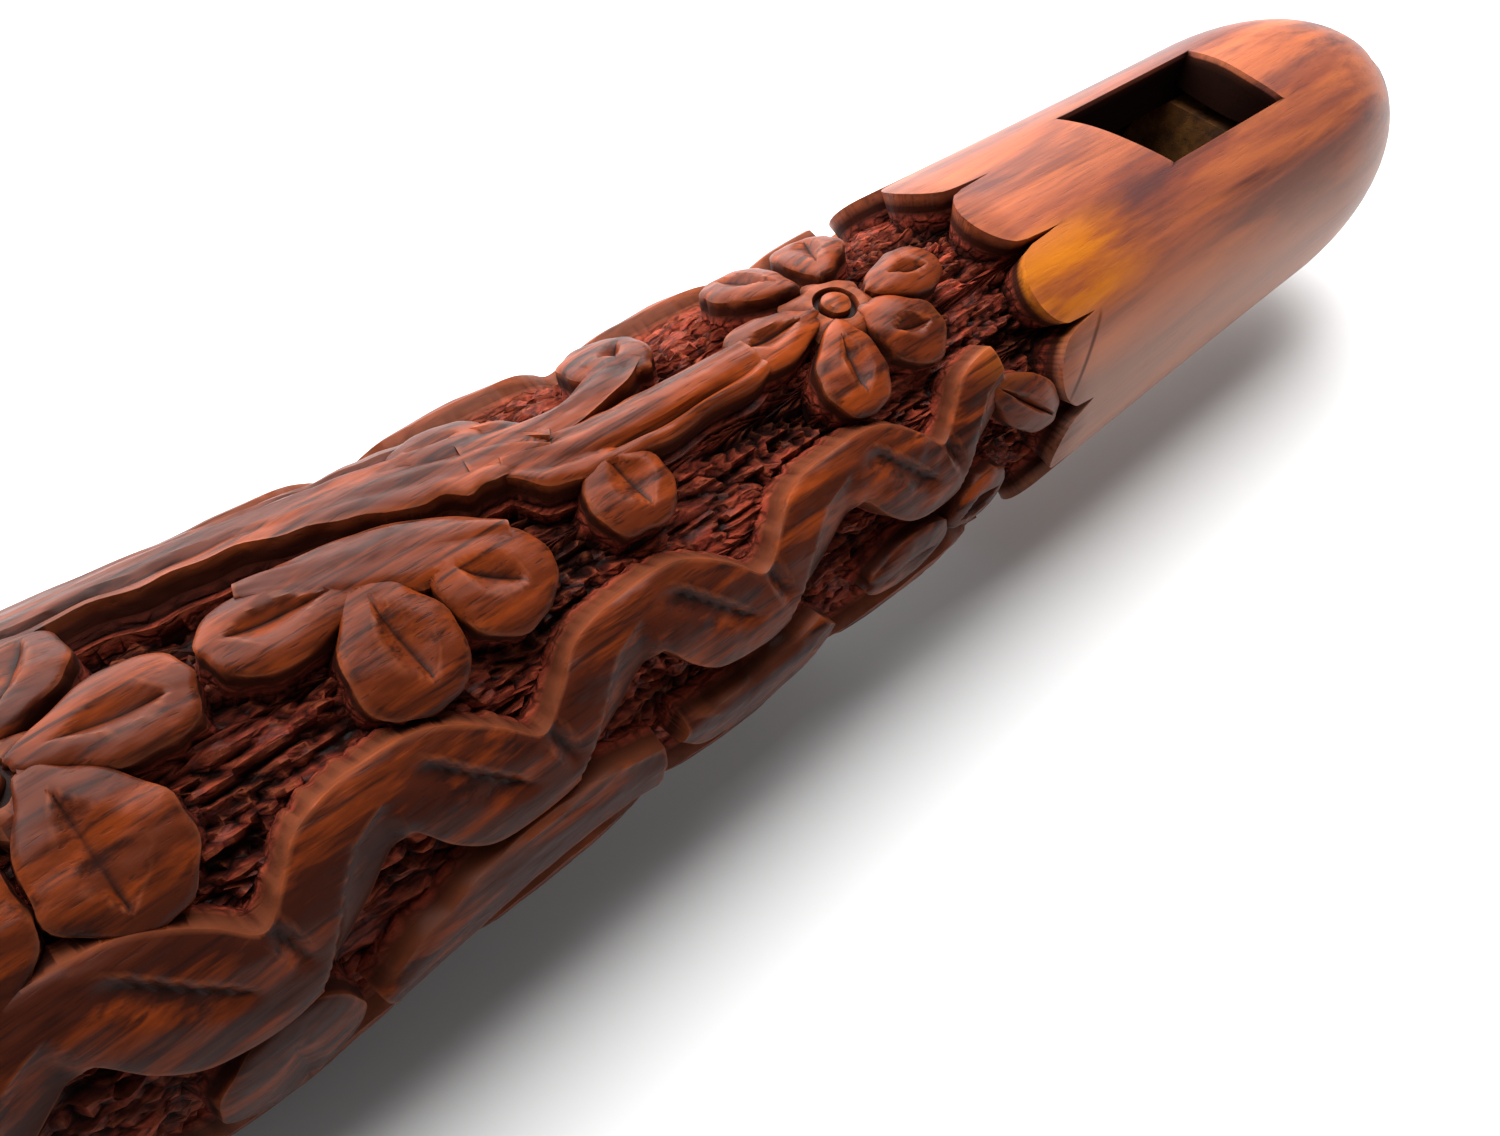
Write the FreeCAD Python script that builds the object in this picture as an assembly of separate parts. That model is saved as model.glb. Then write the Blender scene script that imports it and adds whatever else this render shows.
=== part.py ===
import FreeCAD, Part
import math
import os
from FreeCAD import Vector

os.makedirs("parts", exist_ok=True)

# A duct flute of carved hardwood in three sections, lying on its back with the window up.
# The bore runs along X, with the foot at -X and the rounded mouth end at +X.
# Everything is modelled about the bore axis and lifted onto the floor when it is exported.
# Millimetres, and degrees from straight up, positive towards -Y.

# Driving dimensions
total_length = 360.0
bore_radius = 8.0
foot_bore_radius = 7.6      # the bore narrows a little in the foot
widest_radius = 15.5        # both end rings, which the flute lies on
neck_radius = 12.05         # the plain head, where its rounded end starts
waist_radius = 13.2         # the slimmest part of the middle joint
foot_top_radius = 14.8      # the foot's socket end
foot_neck_radius = 14.2     # the foot between its socket and its flare
dome_length = 24.0          # rounded mouth end
relief_depth = 2.4          # from the carving's tops down to its ground
foot_relief_depth = 1.9     # less, because the foot's wall is thinner round its socket
seam_gap = 0.3              # between the end faces of neighbouring sections
running_clearance = 0.05    # radial, of tenons in sockets and of the block in the bore

# Places along the bore
tip_x = total_length / 2
foot_x = -total_length / 2
dome_x = tip_x - dome_length
head_end_x = 30.0           # the head's socket end
waist_x = -110.0            # where the middle joint's taper ends
foot_top_x = -140.0         # the foot's socket end
foot_neck_x = foot_x + 25.0
foot_ring_x = foot_x + 5.0  # the widest part of the flare
carving_start_x = 34.0      # head carving, from the plain ring at its socket ...
carving_end_x = 121.0       # ... to the middle of the lobes that close it
end_ring = 4.0              # plain ring at each end of a section

# Tenons and their thread lapping
upper_socket_depth = 22.0
lower_socket_depth = 16.0
tenon_radius = 10.2
lapping_radius = 10.95
socket_radius = lapping_radius + running_clearance
groove_radius = 9.6
lapping_inset = 3.0         # plain wood left at each end of a tenon

# Window, windway and block
window_head_x = 152.0
window_foot_near_x = 135.8
window_foot_far_x = 133.1
window_half_width = 4.6
windway_floor = 6.5
windway_half_width = 4.5

# Finger holes, measured from the foot
hole_radius = 4.0
hole_places = (50.0, 71.0, 95.0, 123.0, 145.0, 171.0)
finger_land_half_width = 7.5

# Carving: ovals given as length along the flute, width round it and, where it leans, its lean
post_root = 2.6             # where the standing ovals start, above the bore
clear_of_skin = 3.0         # how far the cutting shapes run past the skin
lobe_count = 12
head_lobe = (13.0, 6.6)
upper_lobe = (11.0, 6.6)
lower_lobe = (11.0, 5.6)
foot_lobe = (13.0, 6.2)
foot_top_lobe = (11.0, 5.4)
flower_turn = 60
flower_reach = 6.1          # from the boss to the middle of a petal
boss = (3.0, 3.0)
petal = (6.4, 5.0)
lone_petal = (81.0, 20.0, 5.2, 5.4)         # place, angle, length, width
stem = (84.0, 8.0, 22.0, 3.0, 4.0)          # place, angle, length, width, lean
trunk = (60.0, -24.0, 34.0, 3.6, 4.0)
head_flower_places = (42.0, 64.0, 101.0)
back_flower_shift = -4.0
middle_flower_count = 6
middle_flower_period = 27.0
scroll_period = 16.5
scroll_leaf = (11.5, 4.6, 32.0)
row_leaf = (12.5, 4.6, 6.0)
front_scroll_angle = 58.0   # the bands run along the flute at these angles, on both sides
leaf_row_angle = 94.0
back_scroll_angle = 127.0


def head_radius(x):
    run = (dome_x - x) / (dome_x - head_end_x)
    return neck_radius + (widest_radius - neck_radius) * max(run, 0.0) ** 1.25


def middle_radius(x):
    run = max(x - waist_x, 0.0) / (head_end_x - waist_x)
    return waist_radius + (widest_radius - waist_radius) * run ** 2


def foot_radius(x):
    if x < foot_neck_x:
        run = (foot_neck_x - x) / (foot_neck_x - foot_ring_x)
        return foot_neck_radius + (widest_radius - foot_neck_radius) * run ** 2
    run = (x - foot_neck_x) / (foot_top_x - foot_neck_x)
    return foot_neck_radius + (foot_top_radius - foot_neck_radius) * run ** 2


def curve(radius_at, start_x, end_x, inset=0.0):
    steps = 8
    span = end_x - start_x
    points = [Vector(start_x + span * i / steps, 0, radius_at(start_x + span * i / steps) - inset)
              for i in range(steps + 1)]
    line = Part.BSplineCurve()
    line.interpolate(points)
    return line.toShape()


def turned(edges, start_x, start_radius, end_x, end_radius):
    # an outline from one end face to the other, closed along the axis and turned about it
    closing = [Part.makeLine(Vector(end_x, 0, 0), Vector(start_x, 0, 0)),
               Part.makeLine(Vector(start_x, 0, 0), Vector(start_x, 0, start_radius))]
    if end_radius > 0:
        closing.append(Part.makeLine(Vector(end_x, 0, end_radius), Vector(end_x, 0, 0)))
    outline = Part.Wire(Part.__sortEdges__(edges + closing))
    return Part.Face(outline).revolve(Vector(0, 0, 0), Vector(1, 0, 0), 360)


def turned_curve(radius_at, start_x, end_x, inset=0.0):
    return turned([curve(radius_at, start_x, end_x, inset)], start_x, radius_at(start_x) - inset,
                  end_x, radius_at(end_x) - inset)


def rod(radius, start_x, end_x):
    return Part.makeCylinder(radius, end_x - start_x, Vector(start_x, 0, 0), Vector(1, 0, 0))


def sleeve(outer, inner, start_x, end_x):
    return rod(outer, start_x, end_x).cut(rod(inner, start_x - 1, end_x + 1))


def pad(x, angle, length, width, turn=0.0):
    # an upright oval post, later trimmed to the outer skin; its long axis turns away from X
    half_long = max(length, width) / 2
    half_short = min(length, width) / 2
    if width > length:
        turn = turn + 90
    along = math.radians(turn)
    long_end = Vector(half_long * math.cos(along), half_long * math.sin(along), 0)
    short_end = Vector(-half_short * math.sin(along), half_short * math.cos(along), 0)
    oval = Part.Ellipse(long_end, short_end, Vector(0, 0, 0)).toShape()
    post = Part.Face(Part.Wire(oval)).extrude(Vector(0, 0, widest_radius))
    post.translate(Vector(x, 0, bore_radius + post_root))
    post.rotate(Vector(0, 0, 0), Vector(1, 0, 0), angle)
    return post


def flower(x, angle, radius_at):
    # six petals round a small boss
    posts = [pad(x, angle, *boss)]
    for i in range(6):
        bearing = math.radians((i + 0.5) * flower_turn)
        side = math.degrees(flower_reach * math.sin(bearing) / radius_at(x))
        posts.append(pad(x + flower_reach * math.cos(bearing), angle + side, *petal,
                         math.degrees(bearing)))
    return posts


def scroll(start_x, end_x, angle, outward):
    # a row of arches, each two leaves leaning on one another
    posts = []
    length, width, lean = scroll_leaf
    for i in range(int((end_x - start_x) / scroll_period)):
        x = start_x + scroll_period * (i + 0.5)
        posts.append(pad(x - scroll_period / 4, angle, length, width, -outward * lean))
        posts.append(pad(x + scroll_period / 4, angle, length, width, outward * lean))
    return posts


def leaf_row(start_x, end_x, angle):
    length, width, lean = row_leaf
    return [pad(start_x + scroll_period * (i + 0.5), angle, length, width, lean * (-1) ** i)
            for i in range(int((end_x - start_x) / scroll_period))]


def bands(start_x, end_x):
    # two scrolls and a leaf row down each side
    posts = []
    for outward in (1, -1):
        posts += scroll(start_x, end_x, front_scroll_angle * outward, outward)
        posts += leaf_row(start_x + 2.0, end_x, leaf_row_angle * outward)
        posts += scroll(start_x + 3.0, end_x, back_scroll_angle * outward, outward)
    return posts


def lobes(x, size, offset=3.0):
    return [pad(x, offset + 360.0 * i / lobe_count, *size) for i in range(lobe_count)]


def carved(skin, ground, posts):
    # the sunk ground with the pads standing up to the outer skin
    relief = skin.common(posts[0].multiFuse(posts[1:]))
    return ground.fuse(relief).removeSplitter()


def build_head():
    skin_edges = [curve(head_radius, head_end_x, dome_x)]
    dome = Part.Ellipse(Vector(tip_x, 0, 0), Vector(dome_x, 0, neck_radius), Vector(dome_x, 0, 0))
    skin_edges.append(Part.ArcOfEllipse(dome, 0, math.pi / 2).toShape())
    skin = turned(skin_edges, head_end_x, widest_radius, tip_x, 0.0)
    trough = turned_curve(head_radius, carving_start_x, carving_end_x, -clear_of_skin)
    core = turned_curve(head_radius, carving_start_x, carving_end_x, relief_depth)
    ground = skin.cut(trough.cut(core))
    posts = lobes(carving_end_x + 1.0, head_lobe) + bands(carving_start_x + 1.0, carving_end_x - 3.0)
    for place in head_flower_places:
        posts += flower(place, 3, head_radius)
        posts += flower(place + back_flower_shift, 176, head_radius)
    posts += [pad(*lone_petal), pad(*stem), pad(*trunk)]
    body = carved(skin, ground, posts)
    body = body.cut(rod(bore_radius, head_end_x - 1, tip_x + 1))
    body = body.cut(rod(socket_radius, head_end_x - 1, head_end_x + upper_socket_depth))
    corners = [Vector(window_foot_far_x, window_half_width, 0),
               Vector(window_foot_near_x, -window_half_width, 0),
               Vector(window_head_x, -window_half_width, 0),
               Vector(window_head_x, window_half_width, 0)]
    window = Part.Face(Part.makePolygon(corners + corners[:1])).extrude(Vector(0, 0, widest_radius + 1))
    windway = Part.makeBox(tip_x - window_head_x + 2, 2 * windway_half_width, bore_radius - windway_floor + 1.5,
                           Vector(window_head_x - 1, -windway_half_width, windway_floor - 1.5))
    return body.cut(window).cut(windway), skin


def build_block(skin):
    plug = rod(bore_radius - running_clearance, window_head_x, tip_x + 1)
    above = Part.makeBox(total_length, 4 * bore_radius, bore_radius,
                         Vector(0, -2 * bore_radius, windway_floor))
    return plug.cut(above).common(skin)


def build_middle():
    top_x = head_end_x - seam_gap
    low_x = foot_top_x + seam_gap
    skin = turned_curve(middle_radius, low_x, top_x)
    cut_start = low_x + end_ring
    cut_end = top_x - end_ring
    trough = turned_curve(middle_radius, cut_start, cut_end, -clear_of_skin)
    core = turned_curve(middle_radius, cut_start, cut_end, relief_depth)
    land = Part.makeBox(total_length, 2 * finger_land_half_width, 2 * widest_radius,
                        Vector(-tip_x, -finger_land_half_width, 0))
    ground = skin.cut(trough.cut(core).cut(land))
    posts = lobes(cut_end + 1.0, upper_lobe) + lobes(cut_start - 1.0, lower_lobe)
    posts += bands(cut_start + 1.0, cut_end - 1.0)
    for i in range(middle_flower_count):
        posts += flower(cut_start + middle_flower_period * (i + 0.6), 180, middle_radius)
    body = carved(skin, ground, posts)
    upper_end = head_end_x + upper_socket_depth - seam_gap
    lower_end = foot_top_x - lower_socket_depth + seam_gap
    body = body.fuse(rod(tenon_radius, lower_end, upper_end))
    for start_x, end_x in lapping_spans():
        body = body.cut(sleeve(tenon_radius + 1, groove_radius, start_x, end_x))
    body = body.cut(rod(bore_radius, lower_end - 1, upper_end + 1))
    for place in hole_places:
        hole = Part.makeCylinder(hole_radius, 2 * widest_radius, Vector(foot_x + place, 0, 0))
        body = body.cut(hole)
    return body.removeSplitter()


def lapping_spans():
    upper = (head_end_x + lapping_inset, head_end_x + upper_socket_depth - seam_gap - lapping_inset)
    lower = (foot_top_x - lower_socket_depth + seam_gap + lapping_inset, foot_top_x - lapping_inset)
    return upper, lower


def build_foot():
    flare = curve(foot_radius, foot_ring_x, foot_top_x)
    corner = Vector(foot_ring_x, 0, widest_radius)
    round_mid = Vector(foot_x + 1.4, 0, widest_radius - 1.3)
    face_edge = Vector(foot_x, 0, widest_radius - 4.0)
    rounding = Part.Arc(face_edge, round_mid, corner).toShape()
    skin = turned([rounding, flare], foot_x, widest_radius - 4.0, foot_top_x, foot_top_radius)
    cut_start = foot_ring_x + end_ring
    cut_end = foot_top_x - end_ring
    trough = turned_curve(foot_radius, cut_start, cut_end, -clear_of_skin)
    core = turned_curve(foot_radius, cut_start, cut_end, foot_relief_depth)
    ground = skin.cut(trough.cut(core))
    half_turn = 180.0 / lobe_count
    posts = lobes(cut_start + 0.5, foot_lobe) + lobes(cut_end - 0.5, foot_top_lobe, 3.0 + half_turn)
    body = carved(skin, ground, posts)
    body = body.cut(rod(foot_bore_radius, foot_x - 1, foot_top_x))
    return body.cut(rod(socket_radius, foot_top_x - lower_socket_depth, foot_top_x + 1))


def export(name, shape):
    shape.translate(Vector(0, 0, widest_radius))
    shape.exportStep("parts/" + name + ".step")
    box = shape.BoundBox
    print(name, len(shape.Solids), "solid", shape.isValid(), round(shape.Volume), "mm3",
          [round(v, 2) for v in (box.XMin, box.XMax, box.YMin, box.YMax, box.ZMin, box.ZMax)])


head, head_skin = build_head()
upper_span, lower_span = lapping_spans()
export("fipple_block", build_block(head_skin))
export("head_joint", head)
export("middle_joint", build_middle())
export("foot_joint", build_foot())
export("upper_tenon_lapping", sleeve(lapping_radius, groove_radius, *upper_span))
export("lower_tenon_lapping", sleeve(lapping_radius, groove_radius, *lower_span))
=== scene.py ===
import math

import bmesh
import bpy
from mathutils import Matrix, Vector, noise


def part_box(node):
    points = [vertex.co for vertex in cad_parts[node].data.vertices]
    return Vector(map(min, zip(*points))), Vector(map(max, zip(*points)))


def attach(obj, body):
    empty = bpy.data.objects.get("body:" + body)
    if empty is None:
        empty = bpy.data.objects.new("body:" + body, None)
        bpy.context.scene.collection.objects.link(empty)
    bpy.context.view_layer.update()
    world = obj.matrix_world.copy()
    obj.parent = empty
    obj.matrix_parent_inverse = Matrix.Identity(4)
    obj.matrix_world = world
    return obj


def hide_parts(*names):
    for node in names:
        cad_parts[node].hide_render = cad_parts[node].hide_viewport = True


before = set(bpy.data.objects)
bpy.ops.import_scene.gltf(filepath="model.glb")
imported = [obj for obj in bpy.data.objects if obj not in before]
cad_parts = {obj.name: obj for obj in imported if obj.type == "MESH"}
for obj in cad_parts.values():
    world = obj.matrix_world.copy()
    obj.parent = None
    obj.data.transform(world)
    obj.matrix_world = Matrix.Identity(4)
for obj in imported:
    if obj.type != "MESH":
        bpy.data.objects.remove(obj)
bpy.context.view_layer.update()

scene = bpy.context.scene
mm = 0.001

# Carving is modelled on a flat sheet in millimetres: x along the flute, y round it, z above the skin.
# wrapSheet then rolls the sheet onto the flute, with y = 0 under the window.
sheetRadius = 14.0

flute = {
    "widest": 15.5, "neck": 12.05, "waist": 13.2, "footTop": 14.8, "footNeck": 14.2,
    "bore": 8.0, "socket": 11.0, "taperPower": 1.25, "relief": 2.4, "wallFoot": -3.35,
    "domeLength": 24.0, "waistX": -110.0, "headEndX": 30.0, "footTopX": -140.0,
    "footNeckX": -155.0, "footRingX": -175.0,
}
axisHeight = (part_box("middle_joint")[0].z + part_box("middle_joint")[1].z) / 2
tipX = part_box("fipple_block")[1].x / mm
domeX = tipX - flute["domeLength"]


def headRadius(x):
    if x > domeX:
        u = min((x - domeX) / flute["domeLength"], 1.0)
        return flute["neck"] * math.sqrt(1 - u * u)
    run = (domeX - x) / (domeX - flute["headEndX"])
    return flute["neck"] + (flute["widest"] - flute["neck"]) * run ** flute["taperPower"]


def middleRadius(x):
    run = max(x - flute["waistX"], 0) / (flute["headEndX"] - flute["waistX"])
    return flute["waist"] + (flute["widest"] - flute["waist"]) * run ** 2


def footRadius(x):
    if x < flute["footNeckX"]:
        run = (flute["footNeckX"] - x) / (flute["footNeckX"] - flute["footRingX"])
        return flute["footNeck"] + (flute["widest"] - flute["footNeck"]) * run ** 2
    run = (x - flute["footNeckX"]) / (flute["footTopX"] - flute["footNeckX"])
    return flute["footNeck"] + (flute["footTop"] - flute["footNeck"]) * run ** 2


def around(degrees):
    return math.radians(degrees) * sheetRadius


def raiseTo(v, x, y, z):
    # from millimetres about the bore to the shared frame
    v.co = Vector((x, y, z)) * mm
    v.co.z += axisHeight


def wave(x, y, z):
    return noise.noise(Vector((x, y, z)))


def onlyVerts(geom):
    return [v for v in geom if isinstance(v, bmesh.types.BMVert)]


def spinSection(bm, rows, steps, closed, merge):
    # rows are along and out from X where the section is closed, else out and up from Z
    ring = [bm.verts.new((a, 0, b)) for a, b in rows]
    edges = [bm.edges.new(ends) for ends in zip(ring, ring[1:] + ring[:1 if closed else 0])]
    bmesh.ops.spin(bm, geom=ring + edges, cent=(0, 0, 0), axis=(1, 0, 0) if closed else (0, 0, 1),
                   angle=2 * math.pi, steps=steps, use_merge=True)
    bmesh.ops.remove_doubles(bm, verts=bm.verts, dist=merge)


def faceOut(bm):
    bmesh.ops.recalc_face_normals(bm, faces=bm.faces)
    if bm.calc_volume(signed=True) < 0:
        bmesh.ops.reverse_faces(bm, faces=bm.faces)


def wrapSheet(bm, radiusAt):
    for v in bm.verts:
        turn = v.co.y / sheetRadius
        r = radiusAt(v.co.x) + v.co.z
        raiseTo(v, v.co.x, -r * math.sin(turn), r * math.cos(turn))


def makeObject(bm, name):
    mesh = bpy.data.meshes.new(name)
    bm.to_mesh(mesh)
    bm.free()
    piece = bpy.data.objects.new(name, mesh)
    scene.collection.objects.link(piece)
    return piece


def addTo(target, source):
    # moves a finished bmesh into another one
    mesh = bpy.data.meshes.new("loan")
    faceOut(source)
    source.to_mesh(mesh)
    source.free()
    target.from_mesh(mesh)
    bpy.data.meshes.remove(mesh)


def makeSolid(bm):
    # walls and an underside for an open sheet
    bmesh.ops.recalc_face_normals(bm, faces=bm.faces)
    grown = bmesh.ops.extrude_face_region(bm, geom=bm.faces[:], use_keep_orig=True)["geom"]
    for v in onlyVerts(grown):
        v.co.z = flute["wallFoot"]


# pads: petals, strips and the scroll band

petalLook = {
    "crown": 0.40, "rim": 0.14, "wobble": 0.12, "egg": 0.14, "neck": 0.36, "grow": 1.08, "valley": 0.06,
    # how far across each line of the mesh lies; the lines run from tip to tip and meet there
    "rows": (-1, -0.95, -0.85, -0.7, -0.55, -0.42, -0.32, -0.2, -0.07,
             0.06, 0.13, 0.22, 0.36, 0.52, 0.68, 0.83, 0.94, 1),
    "coarseRows": (-1, -0.88, -0.62, -0.34, 0.06, 0.2, 0.5, 0.85, 1), "steps": 32, "coarseSteps": 14,
    "steepSide": 0.95, "gentleSide": 1.6, "mergeWithin": 0.0005,
}


def smooth(t):
    t = max(0, min(1, t))
    return t * t * (3 - 2 * t)


def spun(bm, degrees, axis="Z"):
    turned = Matrix.Rotation(math.radians(degrees), 3, axis)
    bmesh.ops.rotate(bm, verts=bm.verts, cent=(0, 0, 0), matrix=turned)


def rimNoise(bearing, seed):
    # the same all the way round, without a seam
    return wave(2 * math.cos(bearing), 2 * math.sin(bearing), seed)


def petal(x, turn, length, width, pointing=0.0, nickAt=(0.05, 0.0), nickSize=(0.66, 0.34), nickTurn=0.0,
          nickDepth=0.62, lift=0.0, seed=0.0, coarse=False, root=0.0):
    # a round bun of wood with one lens-shaped knife nick, sloping on one side and steep on the other
    # root draws its inner end out towards the boss
    bm = bmesh.new()
    low = flute["wallFoot"]
    rows = petalLook["coarseRows" if coarse else "rows"]
    bmesh.ops.create_grid(bm, x_segments=petalLook["coarseSteps" if coarse else "steps"],
                          y_segments=len(rows) - 1, size=1)
    valley = petalLook["valley"]
    for v in bm.verts:
        a = math.sin(math.pi / 2 * v.co.x)
        b = rows[round((v.co.y + 1) / 2 * (len(rows) - 1))]
        lens = 1 - (a / nickSize[0]) ** 2
        reach = nickSize[1] * petalLook["gentleSide" if b < valley else "steepSide"] * max(lens, 0.05)
        cut = max(0, 1 - abs(b - valley) / reach) * max(0, lens) ** 0.7
        across = (b + nickAt[1] * (1 - b * b)) * math.cos(math.pi / 2 * v.co.x)
        f = min(1, math.hypot(a, across))
        roundedRim = petalLook["rim"] * max(0, (f - 0.9) / 0.1) ** 2
        z = -petalLook["crown"] * f ** 2.6 - roundedRim - nickDepth * cut
        v.co = Vector((a + nickAt[0] * (1 - a * a), across, z))
    bmesh.ops.remove_doubles(bm, verts=bm.verts, dist=petalLook["mergeWithin"])
    for flare, height in ((1.01, low * 0.3), (1.03, low * 0.62), (1.1, low)):
        rim = [e for e in bm.edges if e.is_boundary]
        grown = bmesh.ops.extrude_edge_only(bm, edges=rim)["geom"]
        for v in onlyVerts(grown):
            rough = 1 + 0.05 * wave(v.co.x * 4, v.co.y * 4, height + seed)
            v.co = Vector((v.co.x * flare * rough, v.co.y * flare * rough, height))
    bmesh.ops.holes_fill(bm, edges=[e for e in bm.edges if e.is_boundary], sides=0)
    spun(bm, nickTurn)
    for v in bm.verts:
        u, w = v.co.x, v.co.y
        swell = 1 + petalLook["wobble"] * rimNoise(math.atan2(w, u), seed)
        swell *= petalLook["grow"] / 2
        v.co.x = (u - 0.08 * (1 - min(1, u * u))) * swell * length * (1 + root * smooth(-u))
        v.co.y = w * swell * width * (1 + petalLook["egg"] * u - petalLook["neck"] * max(0, -u) ** 2)
        v.co.z += lift + 0.07 * wave(u * 2, w * 2, seed + 7)
    spun(bm, pointing)
    bmesh.ops.translate(bm, verts=bm.verts, vec=(x, around(turn), 0))
    return bm


def between(points, u):
    # smooth place on a list of rows of numbers
    last = len(points) - 1
    i = min(int(u * last), last - 1)
    t = u * last - i
    p0, p1, p2, p3 = (points[max(0, min(last, i + k))] for k in (-1, 0, 1, 2))
    return [0.5 * (2 * b + (c - a) * t + (2 * a - 5 * b + 4 * c - d) * t * t
                   + (3 * b - a - 3 * c + d) * t ** 3)
            for a, b, c, d in zip(p0, p1, p2, p3)]


stripLook = {"stepLength": 0.5, "footDepth": 2.1, "lean": 0.5, "grain": 0.24,
             "splitDepth": 0.55, "splitWidth": 0.11}


def strip(route, seed=0.0, crown=0.4, rough=0.12, splits=0, lift=0.0, across=10):
    # route rows are x, degrees round and half width in millimetres
    bm = bmesh.new()
    rows = [(x, around(turn), half) for x, turn, half in route]
    length = sum(math.hypot(b[0] - a[0], b[1] - a[1]) for a, b in zip(rows, rows[1:]))
    steps = max(8, int(length / stripLook["stepLength"]))
    bmesh.ops.create_grid(bm, x_segments=steps, y_segments=across + 2, size=0.5)
    for v in bm.verts:
        u, line = v.co.x + 0.5, (v.co.y + 0.5) * (across + 2)
        w = max(-1, min(1, 2 * (line - 1) / across - 1))
        skirt = max(0, line - 1 - across) - max(0, 1 - line)     # the outermost line is the foot of the wall
        x, y, half = between(rows, u)
        xa, ya, _ = between(rows, max(0, u - 0.02))
        xb, yb, _ = between(rows, min(1, u + 0.02))
        ahead = Vector((xb - xa, yb - ya)).normalized()
        side = w * max(half, 0.05) + stripLook["lean"] * skirt
        edge = 1 + rough * wave(u * length * 0.45, 3 * (1 if w > 0 else -1), seed)
        grainLines = noise.fractal(Vector((u * length * 0.06, w * half, seed + 3)), 0.8, 2.0, 2)
        z = -crown * abs(w) ** 4 + stripLook["grain"] * grainLines
        for k in range(splits):
            # long cracks that follow the grain
            where = math.sin(seed * 5 + k * 2.1) * 0.6
            where += 0.16 * wave(u * length * 0.12, k * 3, seed)
            begin = 0.5 + 0.5 * math.sin(seed * 3 + k * 1.7)
            reach = max(0, 1 - ((u - begin) / 0.33) ** 2)
            z -= stripLook["splitDepth"] * reach * math.exp(-((w - where) / stripLook["splitWidth"]) ** 2)
        z = -stripLook["footDepth"] if skirt else z
        v.co = Vector((x - ahead.y * side * edge, y + ahead.x * side * edge, z + lift))
    makeSolid(bm)
    return bm


scrollLook = {"period": 16.6, "stepsPerCell": 64, "coarseSteps": 26, "across": 18, "coarseAcross": 8,
              "ribStep": 0.52, "leafDrop": 0.7, "notch": 0.5, "footDepth": 2.0,
              # how far the walls lean out, in degrees round the flute: towards the window, and away from it
              "slope": 3.2, "chiselMarks": 1.5, "outerSlope": 1.5}
# one cell from cusp to cusp, as degrees round the flute at even steps along it
scrollOuter = [(turn,) for turn in (58, 67, 73, 75.6, 76.6, 76.4, 74.5, 71, 66.5, 61.5, 58)]
scrollInner = [(turn,) for turn in (40.5, 40.8, 42, 45.5, 51, 57.5, 52, 45, 42, 40.8, 40.5)]


def scrollBand(startX, firstCell, lastCell, side, offset, seed, coarse=False):
    # a wavy band of leaning leaves; side is 1 or -1, offset shifts it round the flute
    bm = bmesh.new()
    period = scrollLook["period"]
    steps = int((lastCell - firstCell) * scrollLook["coarseSteps" if coarse else "stepsPerCell"])
    across = scrollLook["coarseAcross" if coarse else "across"]
    bmesh.ops.create_grid(bm, x_segments=steps, y_segments=across + 2, size=0.5)
    for v in bm.verts:
        along = firstCell + (v.co.x + 0.5) * (lastCell - firstCell)
        line = (v.co.y + 0.5) * (across + 2)
        w = max(0, min(1, (line - 1) / across))
        rim = abs(2 * w - 1)
        cell = math.floor(along)
        c = along - cell
        jitter = wave(cell * 3.7, seed, 1.0) * math.sin(math.pi * c)
        outer = between(scrollOuter, c)[0] + 4 * jitter
        inner = between(scrollInner, c)[0] - 2 * jitter
        turn = inner + (outer - inner) * w
        x = startX + along * period + 0.6 * wave(along * 1.1, 5, seed)
        turn += 1.0 * wave(x * 0.15, w * 2, seed)
        z = -0.3 * rim ** 4
        # the rising leaf steps down to a rib and the falling one to its outer edge, with a cut between them
        inside = 1 - rim ** 6
        rib = c - 0.12 - 0.24 * (turn - 47) / 17
        step = smooth((rib + 0.13) / 0.13) * (1 - smooth(rib / 0.045))
        z -= scrollLook["ribStep"] * inside * step * smooth((69 - turn) / 7) * smooth((turn - 44) / 6)
        facetEdge = 1 - 0.52 * min(1, max(0, c - 0.56) / 0.27) ** 0.7
        if c > 0.56:
            drop = max(0, w - facetEdge) / (1 - facetEdge)
            ledge = 0.2 * smooth((w - facetEdge) / 0.06 + 0.5)
            z -= smooth((1 - c) / 0.07) * (ledge + scrollLook["leafDrop"] * drop)
        notch = (c - 0.53 - 0.004 * (turn - 60)) / 0.05
        z -= scrollLook["notch"] * inside * smooth(1 - abs(notch)) * smooth((73 - turn) / 12)
        z += 0.13 * wave(x * 0.3, turn * 0.1, seed + 4)
        if line < 0.5:
            # the wall towards the window is a broad slope with upright chisel marks
            turn -= scrollLook["slope"] + scrollLook["chiselMarks"] * wave(x * 1.5, 2, seed)
            z = -scrollLook["footDepth"]
        elif line > across + 1.5:
            turn += scrollLook["outerSlope"]
            z = -scrollLook["footDepth"]
        v.co = Vector((x, side * around(turn + offset), z - 0.05))
    makeSolid(bm)
    return bm


# ground: the sunk, fibrous background

groundLook = {"stepX": 0.5, "stepY": 0.41, "coarseStep": 0.8, "gouge": 0.62, "lumps": 0.3, "gap": 0.7,
              "gapWidth": 0.13, "chop": 0.95, "chopPitch": 1.2, "valley": 0.75}
# deep cuts beside the stems: place and degrees at one end, at the other, half width
valleys = ((53, -18, 63, -4, 1.9), (67, -10, 79, 14, 1.8), (79, 3, 90, -7, 1.6), (70, 33, 78, 26, 1.5),
           (36, -26, 50, -22, 1.8), (92, 20, 96, 30, 1.2), (112, -14, 118, -12, 1.4), (111, 45, 117, 51, 1.6))


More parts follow.
